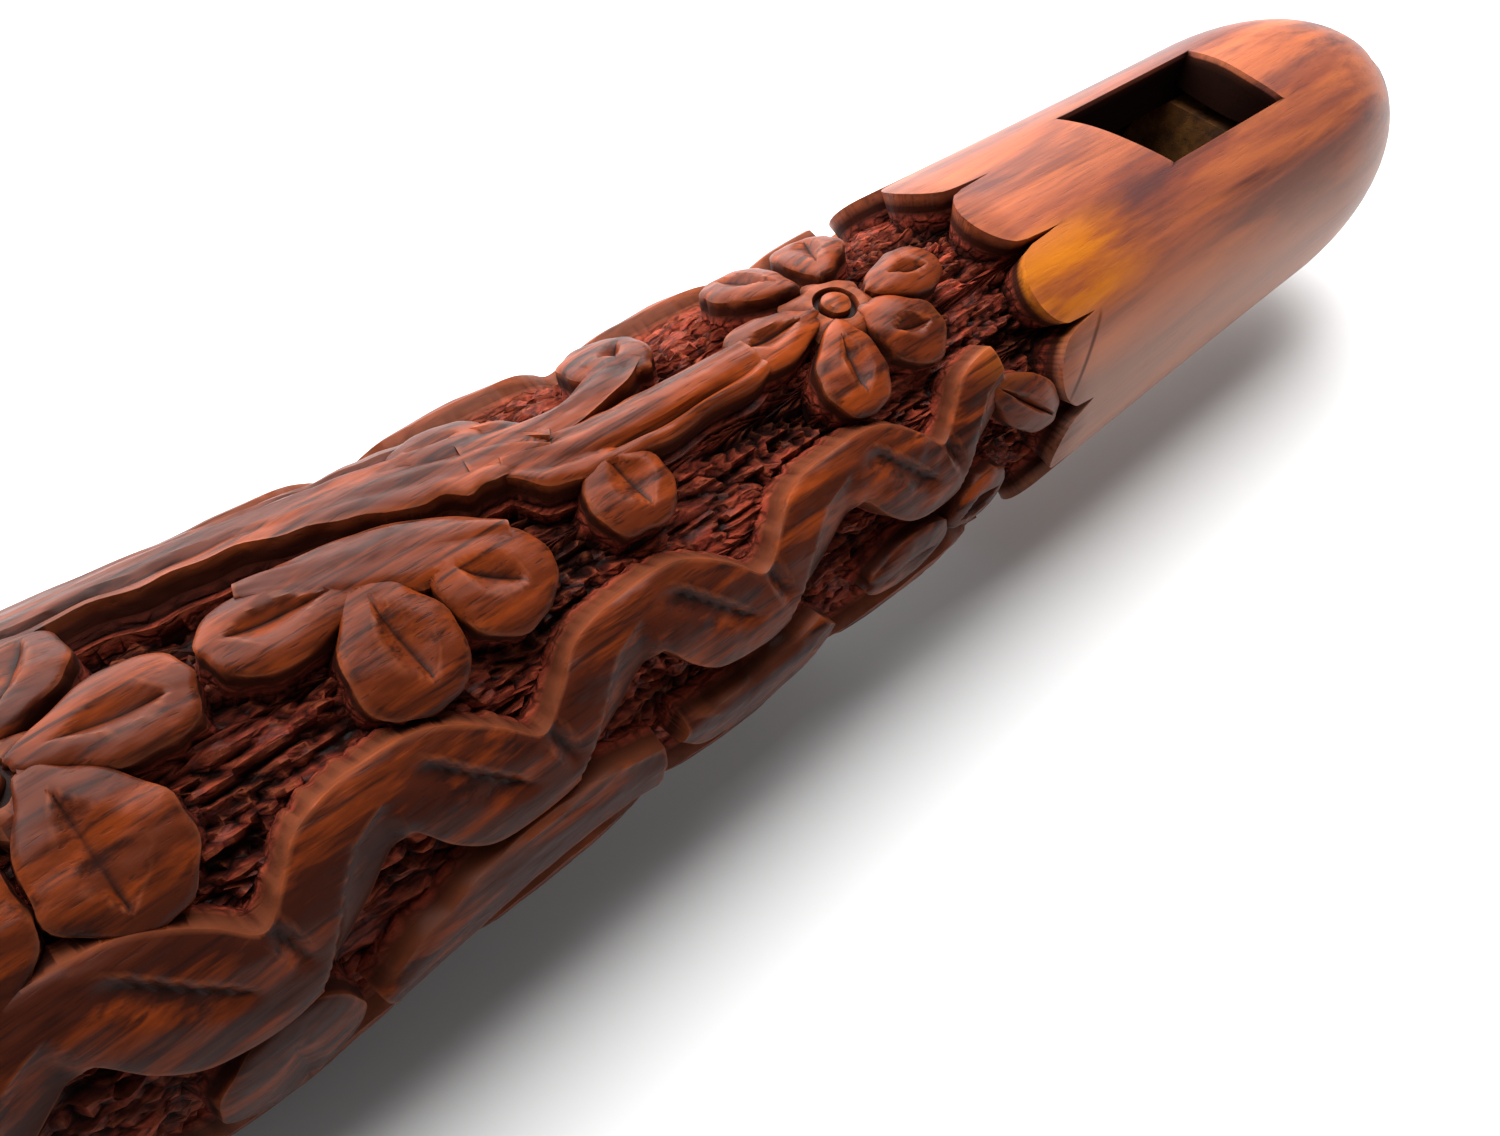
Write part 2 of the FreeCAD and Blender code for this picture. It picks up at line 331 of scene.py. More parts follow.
def deepHere(x, y):
    # 1 along the middle of the nearest deep cut, falling to 0 away from it
    depth = 0
    here = Vector((x, y))
    for xa, turnA, xb, turnB, half in valleys:
        a, b = Vector((xa, around(turnA))), Vector((xb, around(turnB)))
        t = max(0, min(1, (here - a).dot(b - a) / (b - a).length_squared))
        depth = max(depth, math.exp(-((here - a - t * (b - a)).length / half) ** 2))
    return depth


def groundHeight(x, y, seed):
    fibre = noise.fractal(Vector((x * 0.17, y * 1.0, seed)), 0.85, 2.1, 4)
    lumps = wave(x * 0.35, y * 0.4, seed + 5)
    chopHere = max(0, wave(x * 0.09, y * 0.12, seed + 11) + 0.32)
    wander = 0.7 * wave(x * 0.3, y * 0.5, seed + 2)
    row = y * 0.62 + wander
    phase = (x + 0.3 * y + wander + 0.5 * math.sin(math.floor(row) * 2.4)) / groundLook["chopPitch"]
    bite = (phase - math.floor(phase)) ** 1.6
    ledge = 0.35 + 0.65 * (row - math.floor(row))
    z = -flute["relief"] + groundLook["gouge"] * fibre + groundLook["lumps"] * lumps
    # short ridges along the grain with dark gaps between them
    cells = noise.voronoi(Vector((x * 0.34 + 0.4 * lumps, y * 0.66, seed)))[0]
    gap = math.exp(-((cells[1] - cells[0]) / groundLook["gapWidth"]) ** 2)
    z -= groundLook["gap"] * gap * smooth(0.75 + 1.4 * lumps)
    return z - groundLook["chop"] * min(1, 2.4 * chopHere) * bite * ledge


def trough(radiusAt, startAt, endAt, seed, name, arc=None, depth=1.0, coarse=False, deep=False):
    # the wood that the carver took away: rough below, clear of the skin above
    bm = bmesh.new()
    firstY, lastY = (around(arc[0]), around(arc[1])) if arc else (around(-180), around(180))
    stepX, stepY = (groundLook["coarseStep" if coarse else key] for key in ("stepX", "stepY"))
    bmesh.ops.create_grid(bm, x_segments=int((endAt(0) - startAt(0)) / stepX),
                          y_segments=int((lastY - firstY) / stepY), size=0.5)
    for v in bm.verts:
        u = 2 * v.co.y
        u = u if arc else 0.65 * u + 0.35 * u ** 3     # closer together under the window
        y = firstY + (u + 1) / 2 * (lastY - firstY)
        a, b = startAt(math.degrees(y / sheetRadius)), endAt(math.degrees(y / sheetRadius))
        x = a + (v.co.x + 0.5) * (b - a)
        z = groundHeight(x, y, seed)
        if arc:
            edge = max(0, 1 - min(y - firstY, lastY - y) / 0.4)
            y += edge * 0.5 * wave(x * 0.12, y, seed)
        else:
            seam = max(0, 1 - (around(180) - abs(y)) / 2.0)
            z = z * (1 - seam) + seam * groundHeight(x, around(180), seed)
        if deep:
            z -= groundLook["valley"] * deepHere(x, y)
        v.co = Vector((x, y, z * depth))
    wrapSheet(bm, radiusAt)
    bmesh.ops.remove_doubles(bm, verts=bm.verts, dist=0.00002)
    grown = bmesh.ops.extrude_face_region(bm, geom=bm.faces[:], use_keep_orig=True)["geom"]
    for v in onlyVerts(grown):
        out = Vector((0, v.co.y, v.co.z - axisHeight)).normalized() * (radiusAt(v.co.x / mm) + 3) * mm
        v.co = Vector((v.co.x, out.y, out.z + axisHeight))
    faceOut(bm)
    return makeObject(bm, name)


def turnedBody(outline, steps, name):
    # outline rows are x and radius in millimetres, round the wall's section
    bm = bmesh.new()
    spinSection(bm, [(x * mm, r * mm) for x, r in outline], steps, True, 0.000001)
    bmesh.ops.translate(bm, verts=bm.verts, vec=(0, 0, axisHeight))
    faceOut(bm)
    return makeObject(bm, name)


def cutWith(piece, tool, operation):
    cut = piece.modifiers.new("carve", "BOOLEAN")
    cut.object = tool
    cut.operation = operation
    cut.solver = "MANIFOLD"
    mesh = bpy.data.meshes.new_from_object(piece.evaluated_get(bpy.context.evaluated_depsgraph_get()))
    before = len(piece.data.polygons)
    piece.modifiers.clear()
    piece.data = mesh
    print("   ", operation.lower(), tool.name, before, "->", len(mesh.polygons))
    bpy.data.objects.remove(tool)


def joinPads(pads, radiusAt, name):
    # pads of one group don't overlap each other
    whole = bmesh.new()
    for pad in pads:
        wrapSheet(pad, radiusAt)
        addTo(whole, pad)
    return makeObject(whole, name)


def boss(x, turn, seed, coarse=False):
    # a small button in a narrow ring, on the plate that joins the petals
    bm = bmesh.new()
    profile = [(0, -0.3), (0.75, -0.34), (1.05, -0.5), (1.15, -1.05), (1.5, -1.05), (1.65, -0.55),
               (2.2, -0.5), (2.8, -0.75), (3.2, -1.1), (3.4, flute["wallFoot"]), (0, flute["wallFoot"])]
    spinSection(bm, profile, 24 if coarse else 48, False, 0.0005)
    for v in bm.verts:
        bump = 0.12 * wave(v.co.x * 0.9, v.co.y * 0.9, seed)
        bearing = math.atan2(v.co.y, v.co.x)
        uneven = 0.1 * math.cos(6 * bearing + 3.1) + 0.5 * rimNoise(bearing, seed + 4)
        star = 1 + uneven * max(0, v.co.xy.length - 2.0) / 1.4
        v.co = Vector((v.co.x * (star + bump), v.co.y * (star - bump), v.co.z + bump))
    bmesh.ops.translate(bm, verts=bm.verts, vec=(x, around(turn), 0))
    return bm


def flowerPads(x, turn, seed):
    # six petals in two groups of three that don't touch, and the boss
    groups = ([], [])
    for i in range(6):
        bearing = math.radians(i * 60 + 5 * wave(i * 1.3, seed, 2))
        reach = 6.0 + 0.5 * wave(i * 1.9, seed, 8)
        size = 1 + 0.1 * wave(i * 2.1, seed, 5)
        side = math.degrees(reach * math.sin(bearing) / sheetRadius)
        groups[i % 2].append(petal(x + reach * math.cos(bearing), turn + side, 6.2 * size, 5.2 * size,
                                   math.degrees(bearing), nickTurn=25 * math.sin(seed + i * 2.3),
                                   seed=seed + i, coarse=True, root=0.35))
    return groups[0], groups[1], [boss(x, turn, seed, coarse=True)]


backLook = {"flowerEvery": 21, "bandOffset": 72, "leafEvery": 12}


def backGroups(startX, endX, seed):
    # the side away from the window: two bands and a line of flowers between them
    evens, odds, rest = [], [], []
    cells = (endX - startX) / scrollLook["period"]
    for side in (1, -1):
        rest.append(scrollBand(startX, 0.0, cells, side, backLook["bandOffset"], seed + side, coarse=True))
    for i in range(int((endX - startX) / backLook["flowerEvery"])):
        place = startX + 11 + backLook["flowerEvery"] * i
        a, b, c = flowerPads(place, 180, seed + i)
        evens += a
        odds += b
        rest += c
    return [evens, odds, rest]


def leafRow(startX, endX, turn, seed):
    # long leaves one after another, each leaning a little its own way
    leaves = []
    for i in range(int((endX - startX) / backLook["leafEvery"])):
        place = startX + 5 + backLook["leafEvery"] * i
        leaves.append(petal(place, turn, 8.6, 4.4, 10 * math.sin(i * 2.2 + seed), nickSize=(0.75, 0.24),
                            seed=seed + i, coarse=True))
    return leaves


def tongues(turn, count, middle, reach):
    # how far plain wood stands out past its edge, in tongues with narrow cuts between them
    step = 360 / count
    off = (turn - middle) % step
    off = min(off, step - off)
    return reach * (0.72 * math.exp(-off / 1.6) + 0.28 * math.exp(-(off / 5.0) ** 2))


print("head joint")

headLook = {
    "lobeBase": 115.2, "lobeDepth": 3.7, "cutDepth": 2.8, "cutShare": 0.13,
    # where the knife cut in between two tongues, in degrees round the flute
    "lobeJoints": (-170, -139, -106, -74, -42, -11, 20, 50, 79, 108, 138, 163),
}


def lobeEdge(turn):
    # the plain wood ends in round tongues, with a narrow cut running in between each two
    at = (turn + 180) % 360 - 180
    joints = headLook["lobeJoints"]
    joints = (joints[-1] - 360,) + joints + (joints[0] + 360,)
    t = min(abs(2 * (at - a) / (b - a) - 1) for a, b in zip(joints, joints[1:]))
    cut = max(0, (t - (1 - headLook["cutShare"])) / headLook["cutShare"]) ** 2
    lobe = headLook["lobeDepth"] * (1 - math.sqrt(1 - t * t))
    return headLook["lobeBase"] + lobe + headLook["cutDepth"] * cut


def headStart(turn):
    return 33.8 + 0.5 * wave(turn * 0.08, 3, 3)


def buildHead():
    outline = [(30.0, 15.1), (30.35, 15.45)]
    outline += [(x, headRadius(x)) for x in range(33, int(domeX), 3)]
    for i in range(13):
        x = domeX + flute["domeLength"] * math.sin(i * math.radians(4))
        if headRadius(x) > flute["bore"] + 0.25:
            outline.append((x, headRadius(x)))
    mouthX = domeX + flute["domeLength"] * math.sqrt(1 - (flute["bore"] / flute["neck"]) ** 2)
    outline += [(mouthX - 0.2, flute["bore"] + 0.14), (mouthX - 0.25, flute["bore"]), (52.0, flute["bore"]),
                (52.0, flute["socket"]), (30.4, flute["socket"]), (30.0, flute["socket"] + 0.4)]
    head = turnedBody(outline, 120, "headCarved")
    cutWith(head, trough(headRadius, headStart, lobeEdge, 4.0, "headTrough", deep=True), "DIFFERENCE")
    for number, group in enumerate(headGroups()):
        cutWith(head, joinPads(group, headRadius, f"headPads{number}"), "UNION")
    return head


def bloom(*place, **nick):
    return petal(*place, root=0.4, **nick)


def headGroups():
    # pads that overlap are in different groups, because each group is joined on in one go
    first, second, third, fourth, fifth = [], [], [], [], []
    # the flower by the plain head
    first += [bloom(95.5, 5, 5.8, 4.2, 180, nickSize=(0.64, 0.34), seed=1),
              bloom(104.7, 23.5, 5.4, 4.9, 60, nickTurn=-50, nickSize=(0.5, 0.24), seed=2),
              bloom(104.9, -21.5, 5.4, 4.8, 300, seed=3)]
    second += [bloom(98.7, 26, 5.9, 5.0, 114, nickAt=(-0.05, -0.08), nickSize=(0.6, 0.32), nickTurn=-14,
                     seed=4),
               bloom(108.1, 6.5, 5.2, 4.2, 2, nickTurn=20, nickSize=(0.5, 0.26), seed=5),
               bloom(98.7, -22, 5.4, 5.1, 243, seed=6)]
    third.append(boss(101.6, 4.5, 1))
    # the middle flower, its upper petals grown into one broad pad
    first += [bloom(60.9, 6.5, 6.4, 4.7, 183, nickTurn=4, nickSize=(0.66, 0.36), seed=11),
              bloom(71.4, 22.5, 6.3, 5.6, 58, nickTurn=-20, nickSize=(0.5, 0.3), seed=12)]
    second.append(bloom(65.2, 26, 6.6, 5.7, 98, nickAt=(0.0, -0.12), nickSize=(0.66, 0.34), nickTurn=-16,
                        seed=13))
    third.append(strip([(60.5, -4, 0.8), (63.5, 1, 1.9), (67.5, 6, 2.6), (71, 12, 2.2), (73.5, 16, 1.0)],
                       seed=2, crown=0.9, lift=-0.1, across=16))
    # the flower at the socket end
    first += [bloom(53.3, 7.5, 6.5, 4.7, 5, nickTurn=4, nickSize=(0.66, 0.36), seed=21),
              bloom(42.9, 28, 6.6, 5.9, 112, seed=22),
              bloom(43.4, -17, 6.0, 5.0, 236, seed=23)]
    second += [bloom(49.7, 29.5, 7.0, 6.5, 80, nickAt=(0.0, 0.1), nickSize=(0.7, 0.4), nickTurn=12, seed=24),
               bloom(50.6, -14, 5.4, 4.6, 305, seed=25),
               bloom(40.4, 6, 6.0, 4.6, 178, seed=26)]
    third.append(boss(46.9, 6, 2))
    # lone petal, stems and leaves
    first.append(petal(80.9, 20.5, 5.6, 5.1, 84, nickAt=(0.0, -0.15), nickSize=(0.62, 0.42), seed=31))
    fourth.append(strip([(75.8, 0, 0.9), (78.5, 5.5, 2.0), (82, 7.5, 2.0), (87, 8.2, 2.0), (93.6, 7, 1.8)],
                        seed=3, splits=2, rough=0.2, crown=0.55, across=20))
    fifth.append(strip([(36, -43, 2.8), (46, -39, 3.0), (56, -31, 2.9), (64, -23, 2.6), (71, -14, 3.4),
                        (76, -7, 3.0), (79, 1, 1.2)], seed=4, splits=3, rough=0.22, crown=0.5, across=20))
    second.append(strip([(74.5, -8, 2.2), (78.5, -4, 1.5), (82.5, -5.5, 1.2), (85.5, -10, 1.6),
                         (86.6, -15, 2.2)], seed=5, rough=0.15, crown=0.4, lift=0.02))
    fourth.append(petal(86.7, -18.5, 5.9, 5.3, 250, nickTurn=70, nickSize=(0.5, 0.18), seed=32))
    third.append(petal(74.2, -17, 5.6, 3.9, 8, nickSize=(0.55, 0.2), nickDepth=0.3, lift=0.12, seed=33))
    fourth.append(petal(111.7, 64, 8.0, 4.0, 43, nickSize=(0.85, 0.14), nickDepth=0.6, seed=34))
    # bands along the near and far sides, with leaves below them
    third.append(scrollBand(27.9, 0.4, 4.95, 1, 0, 1.0))
    fourth.append(scrollBand(30.5, 0.25, 4.9, -1, 14, 2.0))
    fourth += [petal(51.5, 96, 8.5, 7.4, -92, nickSize=(0.6, 0.3), nickDepth=0.4, seed=41),
               strip([(56.8, 100, 1.2), (61, 93, 2.1), (66, 88, 2.6), (71, 88.5, 2.4), (75.8, 94, 1.8)],
                     seed=6),
               strip([(77.6, 86, 0.7), (80.5, 93, 1.7), (84.5, 96, 2.2), (88.3, 93, 2.0), (90.4, 87, 1.3)],
                     seed=7),
               petal(98.6, 90, 8.0, 4.4, 3, nickDepth=0.3, seed=42),
               petal(106, 87, 5.8, 4.0, -8, seed=43)]
    second += leafRow(38, 112, -102, 60)
    return [first, second, third, fourth, fifth] + backGroups(36.5, 112.0, 50)


windowLook = {
    "footX": 134.7, "headX": 152.3, "skew": 1.35, "halfWidth": 4.6, "sag": 0.8, "wear": 0.3,
    # heights of the cutting shape's levels above the skin, close together where the edge is worn round
    "levels": (-7.0, -3.0, -1.5, -0.8, -0.5, -0.3, -0.15, 0.0, 0.2, 0.6, 1.2, 2.0, 2.5),
}


def windowTool():
    # skewed like the hand-cut window, with its mouth worn a little wider
    bm = bmesh.new()
    levels = windowLook["levels"]
    bmesh.ops.create_cube(bm, size=1)
    bmesh.ops.subdivide_edges(bm, edges=bm.edges, cuts=len(levels) - 2, use_grid_fill=True)
    for v in bm.verts:
        u, w = v.co.x + 0.5, v.co.y * 2
        z = levels[round((v.co.z + 0.5) * (len(levels) - 1))]
        wear = windowLook["wear"] * max(0, z + 0.5) ** 1.5
        sag = windowLook["sag"] * (1 - w * w)     # both ends bow a little towards the foot
        footEdge = windowLook["footX"] - sag + windowLook["skew"] * w + 0.25 * wave(w * 1.5, 1, 1)
        headEdge = windowLook["headX"] - sag + 0.2 * wave(w * 1.5, 4, 1)
        half = windowLook["halfWidth"] + 0.12 * wave(u * 3, 2 if w > 0 else 8, 1)
        x = footEdge + (headEdge - footEdge) * u + (2 * u - 1) * wear
        r = headRadius(x) + z
        y = -w * (half + wear)
        raiseTo(v, x, y, math.sqrt(max(r * r - y * y, 1)))
    faceOut(bm)
    return makeObject(bm, "windowTool")


def windwayTool():
    bm = bmesh.new()
    bmesh.ops.create_cube(bm, size=1)
    for v in bm.verts:
        raiseTo(v, 165.5 + 29 * v.co.x, 9.0 * v.co.y, 6.5 + 3.0 * v.co.z)
    faceOut(bm)
    return makeObject(bm, "windwayTool")


def dropCrumbs(bm, smallest=1000):
    # chips that the cuts left loose
    waiting = set(bm.verts)
    crumbs = []
    while waiting:
        group, frontier = set(), {waiting.pop()}
        while frontier:
            group |= frontier
            frontier = {e.other_vert(v) for v in frontier for e in v.link_edges} - group
        waiting -= group
        if len(group) < smallest:
            crumbs += group
    bmesh.ops.delete(bm, geom=crumbs, context="VERTS")


def shade(piece, material, radiusAt, cutOnly, ends):
    # sunk says how far below the skin a point lies; the other attribute rises where an edge stands out (wear)
    # and falls where a corner is tucked in and on inner faces (painted shade)
    # outside its ends a piece is plain turned wood, and cutOnly says where it was cut but not carved
    mesh = piece.data
    mesh.materials.clear()
    mesh.materials.append(material)
    mesh.polygons.foreach_set("material_index", [0] * len(mesh.polygons))
    mesh.shade_smooth()
    mesh.set_sharp_from_angle(angle=math.radians(33))
    bm = bmesh.new()
    bm.from_mesh(mesh)
    dropCrumbs(bm)
    sunk = bm.verts.layers.float.new("sunk")
    wearAndShade = bm.verts.layers.float.new("wearAndShade")
    for v in bm.verts:
        out = Vector((0, v.co.y, v.co.z - axisHeight))
        x, r = v.co.x / mm, out.length / mm
        deep = (radiusAt(x) - r) / flute["relief"]
        if deep > 1.7 or not ends[0] < x < ends[1]:
            deep = 0
        # the bore and the sockets take the walls' painted shade
        inner = v.normal.dot(out.normalized()) < -0.5 or r < flute["bore"] + 0.3
        if inner:
            deep = 0.5
        # faces that were cut but not carved also take the walls' painted shade
        if cutOnly(x, v.co.y / mm, v.co.z - axisHeight):
            inner = inner or deep > 0.15
            deep = min(deep, 0.5)
        v[sunk] = max(0, deep)
        # inner faces get the lowest value, which paints them dark as shade; elsewhere it follows how far a
        # point stands out from its neighbours
        near = [e.other_vert(v).co for e in v.link_edges]
        centre = sum(near, Vector()) / len(near)
        reach = sum((n - v.co).length for n in near) / len(near)
        v[wearAndShade] = -1 if inner else max(-1, min(1, (v.co - centre).dot(v.normal) / max(reach, 1e-6) * 4))
    bm.to_mesh(mesh)
    bm.free()
    print("    finished", piece.name, sum(len(p.vertices) - 2 for p in mesh.polygons), "triangles")


head = buildHead()
cutWith(head, windowTool(), "DIFFERENCE")
cutWith(head, windwayTool(), "DIFFERENCE")


print("middle joint")

holePlaces = (50, 71, 95, 123, 145, 171)   # from the foot
tenon = {"radius": 10.2, "groove": 9.6, "upper": (33.0, 48.7), "lower": (-152.7, -143.0),
         "upperEnd": 51.7, "lowerEnd": -155.7, "skinLow": -139.7, "skinHigh": 29.7}


def groove(low, high):
    return [(low, tenon["radius"]), (low, tenon["groove"]), (high, tenon["groove"]), (high, tenon["radius"])]


def buildMiddle():
    r, bore = tenon["radius"], flute["bore"]
    lowEnd, highEnd, lowX, highX = tenon["lowerEnd"], tenon["upperEnd"], tenon["skinLow"], tenon["skinHigh"]
    outline = [(lowEnd + 0.2, bore), (lowEnd, bore + 0.2), (lowEnd, r - 0.3), (lowEnd + 0.3, r)]
    outline += groove(*tenon["lower"])
    outline += [(lowX, r), (lowX, middleRadius(lowX) - 0.35), (lowX + 0.35, middleRadius(lowX))]
    outline += [(x, middleRadius(x)) for x in range(-136, 28, 4)]
    outline += [(highX - 0.35, middleRadius(highX)), (highX, middleRadius(highX) - 0.35), (highX, r)]
    outline += groove(*tenon["upper"])
    outline += [(highEnd - 0.3, r), (highEnd, r - 0.3), (highEnd, bore + 0.2), (highEnd - 0.2, bore)]
    middle = turnedBody(outline, 120, "middleCarved")
    hollow = trough(middleRadius, lambda turn: -131.5 - tongues(turn, 12, 18, 4.0),
                    lambda turn: 21.5 + tongues(turn, 12, 18, 4.0), 9.0, "middleTrough", arc=(32, 328),
                    coarse=True)
    cutWith(middle, hollow, "DIFFERENCE")
    front = [scrollBand(-130, 0.0, 9.0, side, 0, 5 + side, coarse=True) for side in (1, -1)]
    leaves = leafRow(-128, 20, 102, 90) + leafRow(-128, 20, -102, 70)
    for number, group in enumerate([front, leaves] + backGroups(-130, 20, 80)):
        cutWith(middle, joinPads(group, middleRadius, f"middlePads{number}"), "UNION")
    for place in holePlaces:
        cutWith(middle, fingerHoleTool(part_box("foot_joint")[0].x / mm + place), "DIFFERENCE")
    return middle


def fingerHoleTool(x):
    # drilled, then burnt and rubbed round at its mouth
    bm = bmesh.new()
    top = middleRadius(x)
    profile = ((0, 5.5), (4.0, 5.5), (4.0, top - 1.5), (4.02, top - 0.9), (4.12, top - 0.5),
               (4.32, top - 0.15), (4.7, top + 0.2), (5.2, top + 1.0), (0, top + 1.0))
    spinSection(bm, profile, 56, False, 0.0005)
    for v in bm.verts:
        raiseTo(v, x + v.co.x, v.co.y, v.co.z)
    faceOut(bm)
    return makeObject(bm, "fingerHoleTool")


middle = buildMiddle()


print("foot joint")

footLook = {"bore": 7.6, "socketDepth": 16, "depth": 0.79, "petals": 12}


def buildFoot():
    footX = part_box("foot_joint")[0].x / mm
    topX = flute["footTopX"]
    bore, floorX = footLook["bore"], topX - footLook["socketDepth"]
    outline = [(topX, flute["socket"] + 0.3), (topX - 0.3, flute["socket"]), (floorX, flute["socket"]),
               (floorX, bore), (footX + 0.6, bore), (footX, bore + 0.6)]
    for i in range(7):
        corner = math.radians(15 * i)
        outline.append((footX + 5.0 * (1 - math.cos(corner)), flute["widest"] - 4.0 + 4.0 * math.sin(corner)))
    outline += [(x, footRadius(x)) for x in range(-173, -141, 2)]
    outline += [(topX - 0.35, footRadius(topX)), (topX, footRadius(topX) - 0.35)]
    foot = turnedBody(outline, 120, "footCarved")
    step = 360 / footLook["petals"]
    hollow = trough(footRadius, lambda turn: -165.0 - tongues(turn, footLook["petals"], 0, 5.5),
                    lambda turn: -149.0 + tongues(turn, footLook["petals"], step / 2, 4.6), 14.0,
                    "footTrough", depth=footLook["depth"])
    cutWith(foot, hollow, "DIFFERENCE")
    ring = [petal(-157.0 + 0.4 * math.sin(i * 2.7), 3 + step * i, 9.0, 5.0, 8 * math.sin(i * 1.9),
                  nickSize=(0.75, 0.26), seed=120 + i) for i in range(footLook["petals"])]
    cutWith(foot, joinPads(ring, footRadius, "footPads"), "UNION")
    return foot


foot = buildFoot()


print("tenon lappings")

thread = {"width": 0.46, "outer": 10.93, "inner": 9.62, "stepsPerTurn": 40, "sides": 8}


def buildLapping(span, name):
    # waxed thread wound over an even bed of the same thread
    bm = bmesh.new()
    half = thread["width"] / 2
    low, high = span[0] + half + 0.08, span[1] - half - 0.08
    turns = int((high - low) / thread["width"])
    pitch = (high - low) / turns
    bmesh.ops.create_circle(bm, cap_ends=False, radius=half, segments=thread["sides"])
    spun(bm, 90, "X")
    bmesh.ops.translate(bm, verts=bm.verts, vec=(low, 0, thread["outer"] - half))
    start = bm.verts[:] + bm.edges[:]
    steps = turns * thread["stepsPerTurn"]
    bmesh.ops.spin(bm, geom=start, cent=(0, 0, 0), axis=(1, 0, 0), angle=2 * math.pi * turns, steps=steps,
                   dvec=(pitch / thread["stepsPerTurn"], 0, 0))
    bmesh.ops.holes_fill(bm, edges=[e for e in bm.edges if e.is_boundary], sides=thread["sides"])
    for v in bm.verts:
        turn = math.atan2(v.co.y, v.co.z)
        slack = 0.035 * wave(v.co.x * 2.1, math.cos(turn) * 1.5, math.sin(turn) * 1.5)
        v.co = Vector((v.co.x + slack, v.co.y * (1 + slack / 10), v.co.z * (1 + slack / 10)))
    faceOut(bm)
    bed = bmesh.new()
    inner, edge, top = thread["inner"], thread["outer"] - 0.4, thread["outer"] - half
    rows = [(span[0], inner), (span[0], edge), (span[0] + 0.25, top),
            (span[1] - 0.25, top), (span[1], edge), (span[1], inner)]
    spinSection(bed, rows, 72, True, 0.001)
    addTo(bm, bed)
    for v in bm.verts:
        raiseTo(v, *v.co)
    return makeObject(bm, name)


upperLapping = buildLapping(tenon["upper"], "upperLapping")
lowerLapping = buildLapping(tenon["lower"], "lowerLapping")


print("finishes")


def nodeGroup(name, inputs, outputs):
    group = bpy.data.node_groups.new(name, "ShaderNodeTree")
    for label, kind, value in inputs:
        socket = group.interface.new_socket(label, in_out="INPUT", socket_type=kind)
        if value is not None:
            socket.default_value = value
    for label, kind in outputs:
        group.interface.new_socket(label, in_out="OUTPUT", socket_type=kind)
    return group, group.nodes.new("NodeGroupInput"), group.nodes.new("NodeGroupOutput")


class Wires:
    # short calls for building a node tree
    def __init__(self, tree):
        self.tree = tree

    def put(self, socket, value):
        if isinstance(value, bpy.types.NodeSocket):
            self.tree.links.new(value, socket)
        elif value is not None:
            socket.default_value = value

    def node(self, kind, inputs=None, **settings):
        made = self.tree.nodes.new(kind)
        for key, value in settings.items():
            setattr(made, key, value)
        for key, value in (inputs or {}).items():
            self.put(made.inputs[key], value)
        return made

    def maths(self, operation, a, b=None):
        made = self.node("ShaderNodeMath", {0: a}, operation=operation)
        self.put(made.inputs[1], b)
        return made.outputs[0]

    def times(self, a, b):
        return self.maths("MULTIPLY", a, b)

    def plus(self, a, b):
        return self.maths("ADD", a, b)

    def less(self, a, b):
        return self.maths("SUBTRACT", a, b)

    def bump(self, shader, height, strength, distance):
        inputs = {"Height": height, "Strength": strength, "Distance": distance}
        self.put(shader.inputs["Normal"], self.node("ShaderNodeBump", inputs).outputs[0])

    def scaled(self, vector, scale, shift=(0, 0, 0)):
        made = self.node("ShaderNodeMapping", {"Vector": vector, "Scale": scale, "Location": shift})
        return made.outputs[0]

    def off(self, value, centre):
        # how far a value is from a centre
        return self.maths("ABSOLUTE", self.less(value, centre))

    def bend(self, vector, by, size):
        # pushes a pattern about by a noise texture's colour
        shift = self.node("ShaderNodeVectorMath", operation="SCALE")
        self.put(shift.inputs[0], by)
        shift.inputs["Scale"].default_value = size
        bent = self.node("ShaderNodeVectorMath", operation="ADD")
        self.put(bent.inputs[0], vector)
        self.put(bent.inputs[1], shift.outputs[0])
        return bent.outputs[0]

    def noise(self, vector, scale, detail, roughness=0.55, distortion=0.0, shift=(0, 0, 0)):
        inputs = {"Vector": self.scaled(vector, scale, shift), "Scale": 1.0, "Detail": detail,
                  "Roughness": roughness, "Distortion": distortion}
        return self.node("ShaderNodeTexNoise", inputs).outputs["Fac"]

    def ramp(self, value, low, high, outLow=0.0, outHigh=1.0):
        inputs = {"Value": value, "From Min": low, "From Max": high, "To Min": outLow, "To Max": outHigh}
        return self.node("ShaderNodeMapRange", inputs, clamp=True).outputs[0]

    def grain(self, vector, pale, mid, dark, pores):
        inputs = {"Vector": vector, "Light": pale, "Middle": mid, "Dark": dark, "Pores": pores}
        return self.node("ShaderNodeGroup", inputs, node_tree=grain).outputs

    def mix(self, factor, a, b):
        made = self.node("ShaderNodeMix", data_type="RGBA", blend_type="MIX")
        self.put(made.inputs[0], factor)
        self.put(made.inputs[6], a)
        self.put(made.inputs[7], b)
        return made.outputs[2]


def srgb(*seen):
    # colours are picked as they look, red, green and blue from 0 to 255
    return tuple(((c / 255 + 0.055) / 1.055) ** 2.4 if c > 10 else c / 255 / 12.92 for c in seen) + (1,)


